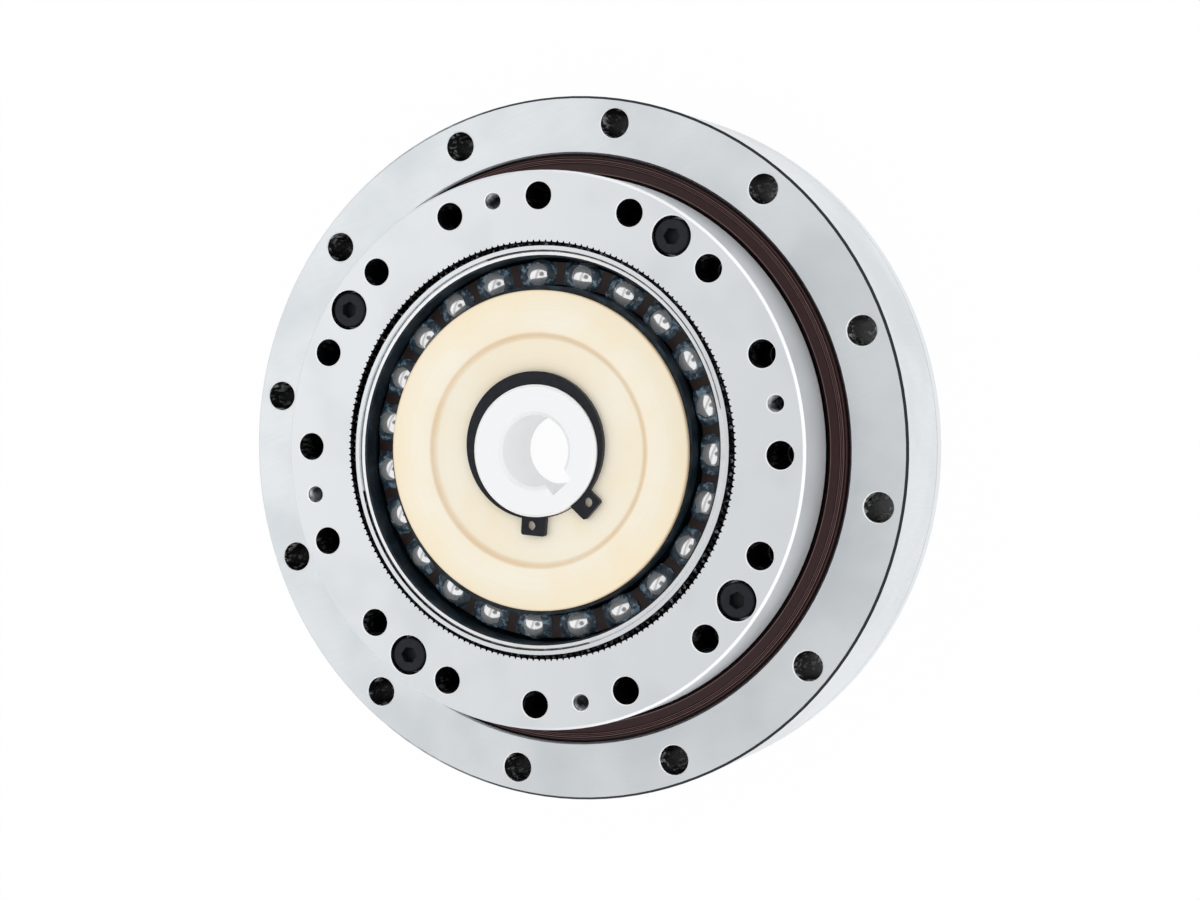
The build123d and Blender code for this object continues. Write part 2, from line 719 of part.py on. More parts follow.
# Snap ring: an eccentric band, open in front, with a drilled ear at each end
snap_plane = Plane.XY.offset(snap_floor_z).rotated((0, 0, snap_gap_angle))
snap_outer_r = groove_r + (snap_back_w + snap_end_w) / 2
snap_offset = (snap_back_w - snap_end_w) / 2
gap_reach = 2 * snap_outer_r
gap_half_w = gap_reach * tan(radians(snap_gap_half))
ear_shift = (snap_ear_near_w - snap_ear_far_w) / 2
with BuildPart() as snap_ring:
    with BuildSketch(snap_plane):
        with Locations((-snap_offset, 0)):
            Circle(snap_outer_r)
        Polygon((0, 0), (gap_reach, -gap_half_w), (gap_reach, gap_half_w), align=None, mode=Mode.SUBTRACT)
        for side in (1, -1):
            with Locations(Location((0, 0, 0), (0, 0, side * snap_ear_angle))):
                with Locations((groove_r + snap_ear_h / 2, -side * ear_shift)):
                    RectangleRounded(snap_ear_h, snap_ear_near_w + snap_ear_far_w, snap_ear_round)
                with Locations((groove_r + snap_hole_out, 0)):
                    Circle(snap_hole_d / 2, mode=Mode.SUBTRACT)
        Circle(groove_r, mode=Mode.SUBTRACT)
    extrude(amount=snap_t)
snap_ring.part.label = "snap_ring"

pieces = [
    outer_ring,
    filler_plug,
    filler_pin,
    oil_seal,
    flexspline,
    flange_screws,
    bearing_inner_ring,
    circular_spline,
    spline_screws,
    cross_rollers_a,
    cross_rollers_b,
    roller_spacers,
    cam_plug,
    bearing_inner_race,
    bearing_outer_race,
    retainer_plate,
    oldham_insert,
    input_hub,
    rub_washer,
    snap_ring,
    bearing_balls,
    ball_cage,
]

os.makedirs("parts", exist_ok=True)
for piece in pieces:
    export_step(piece.part, f"parts/{piece.part.label}.step")
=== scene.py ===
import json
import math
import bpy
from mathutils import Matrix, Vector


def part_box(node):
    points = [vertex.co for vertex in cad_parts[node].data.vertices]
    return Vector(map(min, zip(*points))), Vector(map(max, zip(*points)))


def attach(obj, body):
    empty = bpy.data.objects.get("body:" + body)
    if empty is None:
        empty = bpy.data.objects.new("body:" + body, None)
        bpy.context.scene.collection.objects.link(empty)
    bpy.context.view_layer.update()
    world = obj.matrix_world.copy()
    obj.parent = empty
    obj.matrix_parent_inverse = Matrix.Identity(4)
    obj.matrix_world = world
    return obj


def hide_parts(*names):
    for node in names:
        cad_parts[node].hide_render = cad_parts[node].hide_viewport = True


bl_info = {
    "name": "Strain Wave Gear",
    "version": (1, 0, 0),
    "blender": (4, 5, 0),
    "location": "3D View > Sidebar > Strain Wave Gear",
    "description": "Dresses the packed strain wave gear with its finishes and fine pieces",
    "category": "Object",
}

import bpy
from bpy.props import FloatProperty, FloatVectorProperty, IntProperty, PointerProperty
from mathutils import Matrix, Vector, noise

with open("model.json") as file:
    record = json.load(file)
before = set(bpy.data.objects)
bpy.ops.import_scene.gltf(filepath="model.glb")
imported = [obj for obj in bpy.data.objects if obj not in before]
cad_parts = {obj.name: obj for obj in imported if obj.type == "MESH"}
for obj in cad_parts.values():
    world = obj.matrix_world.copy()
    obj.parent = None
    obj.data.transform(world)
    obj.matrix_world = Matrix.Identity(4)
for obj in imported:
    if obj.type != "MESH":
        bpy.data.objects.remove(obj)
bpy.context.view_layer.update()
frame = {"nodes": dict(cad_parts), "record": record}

MM = 0.001
MERGE = 0.001 * MM
TURN_STEPS = 192
SMOOTH_ANGLE = math.radians(28)
ORIGIN = Vector((0, 0, 0))
UP = Vector((0, 0, 1))
PICTURE_UP = Vector((0.9383, -0.3449, -0.0240))

# Places that the frame gives: heights of the faces, and radii
RING_FACE_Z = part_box("outer_ring")[1].z
BODY_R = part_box("outer_ring")[1].x
SPLINE_BACK_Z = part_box("circular_spline")[0].z
SPLINE_FACE_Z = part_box("circular_spline")[1].z
MOUNTS = {mount["name"]: mount for mount in frame["record"]["mounts"]}
OUTPUT_R = MOUNTS["output_pilot"]["dims"]["r_mm"] * MM
PLATE_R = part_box("retainer_plate")[1].x
PLATE_FACE_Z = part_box("retainer_plate")[1].z
PLATE_BACK_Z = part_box("retainer_plate")[0].z
CAGE_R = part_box("ball_cage")[1].x
CAGE_BACK_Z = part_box("ball_cage")[0].z
CAGE_FACE_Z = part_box("ball_cage")[1].z
BALL_Z = (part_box("bearing_balls")[0].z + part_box("bearing_balls")[1].z) / 2
BALL_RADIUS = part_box("bearing_balls")[1].z - BALL_Z
BALL_CIRCLE_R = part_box("bearing_balls")[1].x - BALL_RADIUS
BALL_COUNT = 23
BALL_START = -1.95
FLEX_FACE_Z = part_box("flexspline")[1].z
SEAL_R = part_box("oil_seal")[1].x


def bore_radius(node):
    """Least distance between a node and the gear axis."""
    return min(point.co.xy.length for point in frame["nodes"][node].data.vertices)


def hole_circle(mount, start):
    """Radius of a bolt pattern's circle, number and radius of its holes, and direction of the first."""
    sizes = MOUNTS[mount]["dims"]
    return sizes["pcd_mm"] / 2 * MM, sizes["count"], sizes["hole_r_mm"] * MM, start


def around(count, start=0.0):
    """Angles of things that are evenly spaced round the axis."""
    return [math.radians(start) + 2 * math.pi * turn / count for turn in range(count)]


def on_circle(radius, angle, height=0.0):
    """Point at an angle round the axis."""
    return Vector((radius * math.cos(angle), radius * math.sin(angle), height))


PLATE_BORE_R = bore_radius("retainer_plate")
SEAL_LIP_R = bore_radius("oil_seal")
TOOTH_TIP_R = bore_radius("circular_spline")

# Circles of holes, with the direction of the first hole at rest in degrees
JACK_START = -9.92
BODY_HOLES = hole_circle("body_bolts", 0)
JACK_HOLES = hole_circle("jack_holes", JACK_START)
OUTPUT_HOLES = hole_circle("output_bolts", JACK_START + 11.25)
SCREW_RECESSES = (OUTPUT_HOLES[0], 4, 4 * MM, JACK_START + 45)

# How far past a hole's radius the faces of its wall and of its cut edge reach
WALL_MARGIN = 0.1 * MM
EDGE_MARGIN = 0.8 * MM

# Across a cut edge, the upward share of a face's normal lies between these; on a wall it is below the first
WALL_TILT = 0.3
EDGE_TILT = 0.95

# Ridges of the shaft seal: millimetres in from its seat, and how strong the painted highlights on their
# crests are
SEAL_CRESTS = [(0.69, 0.25), (1.14, 0.7), (1.47, 0.45), (1.8, 0.6), (3.76, 1.0)]

# Outline of the seal, in millimetres: in from its seat, and up from the outer ring's face
SEAL_GROOVE = [(0, -0.45), (0.06, -0.45), (0.1, -1.1), (0.38, -1.1), (0.45, -0.3)]
SEAL_BAND = [(0.6, -0.12), (0.78, -0.16), (0.86, -0.4), (0.96, -0.4)]
SEAL_RIDGE = [(-0.14, 0.06), (-0.07, 0.22), (0, 0.26), (0.07, 0.22), (0.16, 0.02)]
SEAL_FLAT = [(2.1, 0.1), (2.3, 0.16), (3.5, 0.16), (3.6, 0.2)]
SEAL_LIP = [(3.68, 0.28), (3.76, 0.3), (3.84, 0.24), (3.95, 0.05)]
SEAL_LIP_TIP = -0.9
SEAL_WEB = [(3.75, -1.7), (2.0, -2.0)]

# Grey band of the tent, that the metal mirrors: place along it and brightness
GREY_BAND = [(0.0, 1.0), (0.50, 1.0), (0.57, 0.6), (0.62, 0.38), (0.66, 0.58), (0.72, 0.98), (1.0, 1.0)]


class Value:
    """A node's output socket, on which Python's operators add Math nodes."""

    def __init__(self, finish, socket):
        self.finish = finish
        self.socket = socket

    def maths(self, operation, *values, clamp=False):
        settings = {"operation": operation, "use_clamp": clamp}
        return self.finish.node("ShaderNodeMath", settings, dict(enumerate(values)))

    def __add__(self, other):
        return self.maths("ADD", self, other)

    def __radd__(self, other):
        return self.maths("ADD", other, self)

    def __sub__(self, other):
        return self.maths("SUBTRACT", self, other)

    def __rsub__(self, other):
        return self.maths("SUBTRACT", other, self)

    def __mul__(self, other):
        return self.maths("MULTIPLY", self, other)

    def __rmul__(self, other):
        return self.maths("MULTIPLY", other, self)

    def __truediv__(self, other):
        return self.maths("DIVIDE", self, other)

    def power(self, other):
        return self.maths("POWER", self, other)

    def larger(self, other):
        return self.maths("MAXIMUM", self, other)

    def spread(self, low, high, to_low=0.0, to_high=1.0):
        """Map low..high to a new range, with a soft step and held ends."""
        return self.finish.node(
            "ShaderNodeMapRange",
            {"interpolation_type": "SMOOTHSTEP"},
            {"Value": self, "From Min": low, "From Max": high, "To Min": to_low, "To Max": to_high},
        )


class Finish:
    """A node tree that is being built, of a material or of the world."""

    def __init__(self, tree):
        self.tree = tree
        tree.nodes.clear()

    def node(self, kind, settings=None, inputs=None, output=0):
        """Add a node: its settings first, then its inputs as values or links."""
        made = self.tree.nodes.new(kind)
        for key, setting in (settings or {}).items():
            if key == "stops":
                set_stops(made.color_ramp, setting)
            else:
                setattr(made, key, setting)
        for key, given in (inputs or {}).items():
            if isinstance(given, Value):
                self.tree.links.new(given.socket, made.inputs[key])
            elif given is not None:
                made.inputs[key].default_value = given
        return Value(self, made.outputs[output]) if made.outputs else None

    def place(self):
        """Object coordinates, in metres."""
        return self.node("ShaderNodeTexCoord", output="Object")

    def axes(self, vector):
        """The three coordinates of a vector."""
        split = self.node("ShaderNodeSeparateXYZ", inputs={0: vector}).socket.node
        return [Value(self, socket) for socket in split.outputs]

    def vector(self, x, y, z):
        return self.node("ShaderNodeCombineXYZ", inputs={0: x, 1: y, 2: z})

    def scaled(self, vector, factors):
        return self.node("ShaderNodeVectorMath", {"operation": "MULTIPLY"}, {0: vector, 1: factors})

    def dot(self, first, second):
        """How far two directions agree."""
        inputs = {0: first, 1: second}
        return self.node("ShaderNodeVectorMath", {"operation": "DOT_PRODUCT"}, inputs, output="Value")

    def noise(self, vector, scale, detail=2.0, roughness=0.5):
        inputs = {"Vector": vector, "Scale": scale, "Detail": detail, "Roughness": roughness}
        return self.node("ShaderNodeTexNoise", inputs=inputs)

    def mix(self, factor, *colours):
        """Mix two colours, each a value, a grey or three channels."""
        settings = {"data_type": "RGBA", "clamp_factor": True}
        first, second = [given if isinstance(given, Value) else opaque(given) for given in colours]
        return self.node("ShaderNodeMix", settings, {0: factor, 6: first, 7: second}, output=2)

    def radius(self):
        """Distance from the gear axis."""
        x, y, z = self.axes(self.place())
        return (x * x + y * y).power(0.5)

    def bump(self, height, distance, strength):
        inputs = {"Height": height, "Distance": distance, "Strength": strength}
        return self.node("ShaderNodeBump", inputs=inputs)


def set_stops(ramp, stops):
    """Give a colour ramp its stops, each a place and a grey or a colour."""
    while len(ramp.elements) > 1:
        ramp.elements.remove(ramp.elements[-1])
    for number, (position, colour) in enumerate(stops):
        element = ramp.elements[0] if number == 0 else ramp.elements.new(position)
        element.position = position
        element.color = opaque(colour)


def opaque(colour):
    """Give alpha to a colour, from a grey or three channels."""
    channels = (colour,) * 3 if isinstance(colour, (int, float)) else tuple(colour)[:3]
    return channels + (1.0,)


def surface(name, build, metallic=0.0, specular=0.5):
    """Make a material once. build gives the linked inputs of its Principled shader."""
    if name in FINISHES:
        return FINISHES[name]
    material = bpy.data.materials.new(name)
    material.use_nodes = True
    finish = Finish(material.node_tree)
    linked = build(finish)
    inputs = {"Metallic": metallic, "Specular IOR Level": specular}
    inputs.update(linked)
    shader = finish.node("ShaderNodeBsdfPrincipled", inputs=inputs)
    finish.node("ShaderNodeOutputMaterial", inputs={"Surface": shader})
    FINISHES[name] = material
    return material


# Finishes

FINISHES = {}


def ground_steel():
    """Face ground steel: straight fine grinding lines and slight clouding."""

    def build(finish):
        look = bpy.context.scene.gear_metals
        place = finish.place()
        lines = finish.noise(finish.scaled(place, (2600, 120, 260)), 1.0, 3.0, 0.6)
        clouds = finish.noise(place, 45.0, 3.0)
        tone = finish.mix(clouds.spread(0.35, 0.7), look.steel, look.steel_shade)
        streaked = finish.mix(lines.spread(0.3, 0.75) * 0.22, tone, look.steel_shade)
        return {
            "Base Color": streaked,
            "Roughness": 0.24 + lines * 0.14,
            "Normal": finish.bump(lines, 0.012 * MM, 0.5),
        }

    return surface("ground_steel", build, metallic=1.0)


def turned_steel(name, colour, depth=0.01, roughness=0.25, metallic=1.0):
    """Turned steel: fine rings about the gear axis."""

    def build(finish):
        radius = finish.radius()
        height = finish.axes(finish.place())[2]
        rings = finish.noise(finish.vector(radius * 9000, height * 9000, 0), 1.0, 2.0)
        clouds = finish.noise(finish.place(), 60.0, 2.0)
        shade = tuple(channel * 0.86 for channel in colour)
        return {
            "Base Color": finish.mix(rings.spread(0.3, 0.8) * 0.4, colour, shade),
            "Roughness": roughness + rings * 0.1 + clouds * 0.06,
            "Normal": finish.bump(rings, depth * MM, 0.4),
        }

    return surface(name, build, metallic=metallic)


def spline_face():
    """Face of the circular spline: fine turned rings, and painted shade on a band round the tooth ends,
    standing for a bevel that mirrors dark, with painted glints in spots.
    """

    def build(finish):
        look = bpy.context.scene.gear_metals
        radius = finish.radius()
        rings = finish.noise(finish.vector(radius * 9000, 0, 0), 1.0, 2.0)
        clouds = finish.noise(finish.place(), 60.0, 2.0)
        spots = finish.noise(finish.place(), 1500.0, 2.0)
        tone = finish.mix(rings.spread(0.3, 0.8) * 0.35, look.spline, look.steel)
        shaded = finish.mix(clouds.spread(0.45, 0.7) * 0.5, tone, look.steel_shade)
        edge = TOOTH_TIP_R + look.tip_shade_width
        # Painted shade on the band round the tooth ends; the spots lighten it with painted glints
        tip_painted_shade = 1 - radius.spread(edge - 0.08 * MM, edge)
        return {
            "Base Color": finish.mix(tip_painted_shade * (1 - spots.spread(0.6, 0.8) * 0.4), shaded, look.bore),
            "Roughness": 0.26 + rings * 0.1 + clouds * 0.06,
            "Normal": finish.bump(rings, 0.01 * MM, 0.4),
        }

    return surface("spline_steel", build, metallic=1.0)


def to_side(finish, radius):
    """Share of a radius that a place lies towards the side on which the edges carry painted light and shade:
    a painted highlight on the spline's edge, painted shade on the ring's edge.
    """
    look = bpy.context.scene.gear_metals
    x, y, z = finish.axes(finish.place())
    return (x * look.side_x + y * look.side_y) / radius


def ring_edge():
    """Edge of the outer ring: bare on one side, painted dark on the other as a painted reflection of dark
    surroundings.
    """

    def build(finish):
        look = bpy.context.scene.gear_metals
        nicks = finish.noise(finish.place(), 350.0, 3.0, 0.6)
        # Painted reflection: the edge is painted dark on one side, in the rubbed oxide colour, broken up by
        # the nicks
        painted_shade = (to_side(finish, BODY_R) + (nicks - 0.5) * 0.3).spread(-0.7, -0.2)
        return {
            "Base Color": finish.mix(painted_shade, look.steel_shade, look.oxide_light),
            "Roughness": 0.3 + nicks * 0.2,
        }

    return surface("ring_edge", build, metallic=0.7)


def spline_edge():
    """Outer edge of the circular spline: a painted highlight on one side, like the face on the other."""

    def build(finish):
        look = bpy.context.scene.gear_metals
        lit = to_side(finish, OUTPUT_R).spread(-0.2, 0.5)
        return {"Base Color": finish.mix(lit, look.steel_shade, look.edge), "Roughness": 0.35}

    return surface("spline_edge", build, metallic=0.3)


def thread_steel():
    """Cut thread: bright steel, with patches painted near-black as the shade inside the hole."""

    def build(finish):
        look = bpy.context.scene.gear_metals
        patches = finish.noise(finish.scaled(finish.place(), (400, 400, 200)), 1.0, 3.0, 0.6)
        return {
            # Patches painted near-black as the shade inside the hole
            "Base Color": finish.mix(patches.spread(0.35, 0.6) * 0.9, look.steel, look.bore),
            "Roughness": 0.3 + patches * 0.2,
        }

    return surface("thread_steel", build, metallic=0.9)


def bearing_steel():
    """Polished bearing steel."""

    def build(finish):
        look = bpy.context.scene.gear_metals
        smears = finish.noise(finish.place(), 320.0, 3.0)
        return {
            "Base Color": finish.mix(smears.spread(0.45, 0.75) * 0.5, look.polish, look.steel_shade),
            "Roughness": 0.07 + smears * 0.12,
        }

    return surface("bearing_steel", build, metallic=0.65)


def black_steel():
    """Black oxide with a film of oil."""

    def build(finish):
        look = bpy.context.scene.gear_metals
        grain = finish.noise(finish.place(), 900.0, 3.0)
        return {
            "Base Color": finish.mix(grain, look.oxide, look.oxide_light),
            "Roughness": 0.3 + grain * 0.2,
            "Normal": finish.bump(grain, 0.01 * MM, 0.4),
        }

    return surface("black_steel", build, specular=0.2)


def drilled_wall(name, light):
    """Wall of a deep hole: painted near-black as its shade, with painted glints in patches and faintly along
    the rings that the drill left.
    """

    def build(finish):
        look = bpy.context.scene.gear_metals
        place = finish.place()
        height = finish.axes(place)[2]
        rings = finish.noise(finish.vector(0, 0, height * 3500), 1.0, 2.0)
        patches = finish.noise(finish.scaled(place, (330, 330, 120)), 1.0, 3.0, 0.6)
        scores = finish.noise(finish.scaled(place, (1500, 1500, 420)), 1.0, 3.0, 0.6)
        # Painted glints: light patches on the near-black painted shade
        glint = patches.spread(0.47, 0.58) * scores.spread(0.48, 0.56) + rings.spread(0.6, 0.75) * 0.05
        return {
            "Base Color": finish.mix(glint * light, look.bore, look.polish),
            "Roughness": 0.4 + patches * 0.3,
            "Normal": finish.bump(rings + scores, 0.1 * MM, 0.8),
        }

    return surface(name, build, metallic=0.3, specular=0.08)


def painted_edge_highlight():
    """Cut edges of holes and rims, with a painted highlight that makes them lighter than the faces beside
    them.
    """

    def build(finish):
        look = bpy.context.scene.gear_metals
        nicks = finish.noise(finish.place(), 900.0, 3.0, 0.6)
        return {
            "Base Color": finish.mix(nicks.spread(0.5, 0.75) * 0.4, look.edge, look.steel),
            "Roughness": 0.3 + nicks * 0.2,
        }

    return surface("painted_edge_highlight", build, metallic=0.2)


def painted_tooth_shade():
    """Steel in the narrow spaces of the teeth, painted near-black as their shade, with lighter flecks."""

    def build(finish):
        look = bpy.context.scene.gear_metals
        spots = finish.noise(finish.place(), 900.0, 3.0, 0.6)
        return {
            "Base Color": finish.mix(spots.spread(0.5, 0.75) * 0.6, look.bore, look.steel_shade),
            "Roughness": 0.35 + spots * 0.2,
        }

    return surface("painted_tooth_shade", build, metallic=0.8)


def gold_plate():
    """Pale gold passivated sheet, slightly clouded, with painted shade in the creases of its step and along
    its rim.
    """

    def build(finish):
        look = bpy.context.scene.gear_plate
        place = finish.place()
        radius = finish.radius()
        clouds = finish.noise(place, 60.0, 4.0, 0.6)
        rings = finish.noise(finish.vector(radius * 2500, 0, 0), 1.0, 2.0)
        tone = finish.mix(clouds.spread(0.35, 0.7) * 0.6, look.pale, look.warm)
        outer = look.step_radius
        soft = look.step_width
        middle = outer - soft / 4
        # Painted shade in the creases of the step and along the rim, tinted orange and mottled by the clouds
        crease_shade = radius.spread(outer - soft, middle) * (1 - radius.spread(middle, outer + soft / 4))
        rim = radius.spread(PLATE_R - 0.5 * MM, PLATE_R)
        tint = radius.spread(PLATE_R - 6 * MM, PLATE_R) * 0.5
        painted_shade = (crease_shade * (0.3 + clouds * 0.5)).larger(rim * 0.5)
        tone_with_painted_shade = finish.mix(painted_shade, finish.mix(tint, tone, look.warm), look.crease_shade)
        return {
            "Base Color": finish.mix(rings.spread(0.4, 0.8) * 0.08, tone_with_painted_shade, look.crease_shade),
            "Roughness": 0.38 + clouds * 0.16,
            "Normal": finish.bump(clouds, 0.02 * MM, 0.2),
        }

    return surface("gold_plate", build, metallic=0.15, specular=0.4)


def seal_rubber():
    """Dark red-brown moulded rubber with a slight sheen, with painted highlights on the crests of its ridges
    and painted shadow along its inner and outer edges.
    """

    def build(finish):
        look = bpy.context.scene.gear_seal
        inward = SEAL_R - finish.radius()
        grain = finish.noise(finish.place(), 700.0, 3.0)
        crest = 0.0
        # Painted highlights: a light line along the crest of each ridge
        for middle, share in SEAL_CRESTS:
            top = middle * MM
            line = inward.spread(top - look.crest, top) - inward.spread(top, top + look.crest)
            crest = line * share + crest
        rubber = finish.mix(grain, look.rubber, look.rubber_light)
        shadow = (1 - inward.spread(0.3 * MM, 0.5 * MM)) + inward.spread(3.9 * MM, 4.2 * MM)
        dull = finish.mix(shadow * 0.9, rubber, 0.001)
        return {
            "Base Color": finish.mix(crest * (0.6 + grain * 0.4), dull, look.rubbed),
            "Roughness": 0.3 + grain * 0.15,
            "Normal": finish.bump(grain, 0.02 * MM, 0.3),
        }

    return surface("seal_rubber", build, specular=0.22)


def cage_resin():
    """Dark brown laminated cloth resin, smeared with grease round each ball."""

    def build(finish):
        look = bpy.context.scene.gear_bearing
        place = finish.place()
        x, y, z = finish.axes(place)
        layers = finish.noise(finish.scaled(place, (900, 900, 4000)), 1.0, 2.0)
        resin = finish.mix(layers, look.resin, look.resin_light)
        turn = y.maths("ARCTAN2", y, x) - math.radians(BALL_START)
        step = 2 * math.pi / BALL_COUNT
        off_ball = turn.maths("PINGPONG", turn, step / 2) * BALL_CIRCLE_R
        smears = finish.noise(place, 700.0, 4.0, 0.65)
        reach = off_ball + (smears - 0.5) * 1.6 * MM
        greased = 1 - reach.spread(look.smear_reach, look.smear_reach + 0.3 * MM)
        return {
            "Base Color": finish.mix(greased, resin, look.grease),
            "Roughness": 0.35 + layers * 0.2 - greased * 0.12,
            "Normal": finish.bump(layers + smears * greased, 0.06 * MM, 0.6),
        }

    return surface("cage_resin", build, specular=0.3)


def grease():
    """Blue-grey bearing grease: streaky, wet, and lighter where it is thin."""

    def build(finish):
        look = bpy.context.scene.gear_bearing
        place = finish.place()
        streaks = finish.noise(place, 650.0, 5.0, 0.65)
        clots = finish.noise(place, 1800.0, 3.0, 0.6)
        tone = finish.mix(streaks.spread(0.5, 0.62), look.grease, look.grease_light)
        return {
            "Base Color": finish.mix(clots.spread(0.5, 0.75) * 0.7, tone, look.grease_dark),
            "Roughness": 0.22 + clots * 0.25,
            "Normal": finish.bump(clots, 0.12 * MM, 0.8),
        }

    return surface("bearing_grease", build, specular=0.45)


def greased_and_shaded_steel():
    """Walls of the ball tracks, under a dark film of grease that also stands as painted shade between the
    races.
    """

    def build(finish):
        look = bpy.context.scene.gear_bearing
        film = finish.noise(finish.place(), 500.0, 4.0, 0.6)
        return {
            "Base Color": finish.mix(film.spread(0.4, 0.7) * 0.9, look.grease_dark, look.grease),
            "Roughness": 0.4 + film * 0.3,
            "Normal": finish.bump(film, 0.05 * MM, 0.5),
        }

    return surface("greased_and_shaded_steel", build, specular=0.2)


def pale_plastic():
    """Moulded spacer plastic."""

    def build(finish):
        grain = finish.noise(finish.place(), 400.0, 3.0)
        return {
            "Base Color": finish.mix(grain, (0.7, 0.68, 0.6), (0.6, 0.58, 0.5)),
            "Roughness": 0.4 + grain * 0.1,
        }

    return surface("spacer_plastic", build)


# Modelling helpers


def pick(*objects):
    """Select these objects and nothing else."""
    bpy.ops.object.select_all(action="DESELECT")
    for chosen in objects:
        chosen.select_set(True)
    bpy.context.view_layer.objects.active = objects[0]


def seat(piece, body, node=None):
    """Settle a finished piece on its CAD body, in place of its CAD node."""
    bpy.context.view_layer.update()
    piece.data.transform(piece.matrix_world)
    piece.matrix_world = Matrix.Identity(4)
    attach(piece, body)
    if node:
        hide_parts(node)
    return piece


def shade(piece, material, angle=SMOOTH_ANGLE):
    """Give a piece its finish, and smooth it where it isn't sharp."""
    piece.data.materials.clear()
    piece.data.materials.append(material)
    pick(piece)
    bpy.ops.object.shade_smooth_by_angle(angle=angle)
    return piece


def finished_copy(node, name, material):
    """Merge a copy of a CAD node's mesh, so that its round walls shade smoothly."""
    piece = bpy.data.objects.new(name, frame["nodes"][node].data.copy())
    bpy.context.collection.objects.link(piece)
    pick(piece)
    bpy.ops.object.mode_set(mode="EDIT")
    bpy.ops.mesh.select_all(action="SELECT")
    bpy.ops.mesh.remove_doubles(threshold=MERGE)
    bpy.ops.object.mode_set(mode="OBJECT")
    bpy.ops.mesh.customdata_custom_splitnormals_clear()
    return shade(piece, material)


def paint_where(piece, material, test):
    """Give a second finish to the faces whose centre and normal pass a test."""
    piece.data.materials.append(material)
    number = len(piece.data.materials) - 1
    for face in piece.data.polygons:
        if test(face.center, face.normal):
            face.material_index = number


def near_holes(point, holes, margin):
    """True if a point is in a hole of this circle, or less than the margin beside it."""
    radius, count, hole, start = holes
    reach = hole + margin
    return any((point.xy - on_circle(radius, angle).xy).length < reach for angle in around(count, start))


def upright(normal):
    """True for the faces of walls."""
    return abs(normal.z) < WALL_TILT


def bevelled(normal):
    """True for the faces of cut edges."""
    return WALL_TILT < normal.z < EDGE_TILT


def turned(name, outline, steps=TURN_STEPS):
    """Turn a closed outline of (radius, height) points about the Z axis, as on a lathe."""
    points = [Vector((radius, 0, height)) for radius, height in outline]
    points.append(points[0])
    bpy.ops.object.select_all(action="DESELECT")
    bpy.ops.mesh.primitive_plane_add(size=MM, location=ORIGIN)
    piece = bpy.context.active_object
    piece.name = name
    bpy.ops.object.mode_set(mode="EDIT")
    bpy.ops.mesh.merge(type="CENTER")
    bpy.ops.transform.translate(value=points[0])
    for start, end in zip(points, points[1:]):
        bpy.ops.mesh.extrude_region_move(TRANSFORM_OT_translate={"value": end - start})
    bpy.ops.mesh.select_all(action="SELECT")
    bpy.ops.mesh.remove_doubles(threshold=MERGE)
    bpy.ops.mesh.spin(steps=steps, angle=2 * math.pi, center=ORIGIN, axis=UP)
    bpy.ops.mesh.select_all(action="SELECT")
    bpy.ops.mesh.remove_doubles(threshold=MERGE)
    bpy.ops.mesh.normals_make_consistent(inside=False)
    bpy.ops.object.mode_set(mode="OBJECT")
    return piece


def copies(piece, places):
    """Copy a piece, each copy with its own mesh, to these places. The piece takes the first."""
    made = [piece]
    for _ in places[1:]:
        pick(piece)
        bpy.ops.object.duplicate()
        made.append(bpy.context.active_object)
    for copy, place in zip(made, places):
        copy.matrix_world = place
    return made


def roughened(piece, size, height, seed):
    """Push the points of a piece about by soft noise, as of something smeared."""
    shift = Vector((seed, 2 * seed, 3 * seed))
    for point in piece.data.vertices:
        point.co += noise.noise_vector(point.co / size + shift) * height


def joined(name, pieces):
    """Join pieces into one."""
    pick(*pieces)
    bpy.ops.object.join()
    pieces[0].name = name
    return pieces[0]


# Settings


def colour(name, description, default):
    return FloatVectorProperty(name=name, description=description, default=default, subtype="COLOR")


def length(name, description, millimetres):
    """A length in metres, whose default is given in millimetres."""
    default = millimetres * MM
    return FloatProperty(name=name, description=description, default=default, precision=5, unit="LENGTH")


def angle(name, description, degrees):
    """An angle in radians, whose default is given in degrees."""
    default = math.radians(degrees)
    return FloatProperty(name=name, description=description, default=default, subtype="ANGLE")


class StageSettings(bpy.types.PropertyGroup):
    """Camera and light."""

    aim: FloatVectorProperty(
        name="Aim",
        description="Where the camera looks",
        default=(-2.8 * MM, -7.0 * MM, 26.0 * MM),
        subtype="TRANSLATION",
    )
    distance: length("Camera distance", "From camera to aim", 480.5)
    tilt: angle("Camera tilt", "Angle between the line of sight and the gear axis", 21.92)
    heading: angle("Camera heading", "Where the camera stands, seen along the axis", 253.25)
    lens: FloatProperty(name="Lens", description="Focal length in millimetres", default=71.82)
    light: FloatProperty(name="Light", description="Brightness of the tent", default=1.15)
    floor_size: FloatProperty(name="Floor", description="Side of the floor", default=6.0, unit="LENGTH")
    paper: colour("Paper", "Colour of floor and backdrop", (0.95, 0.95, 0.95))


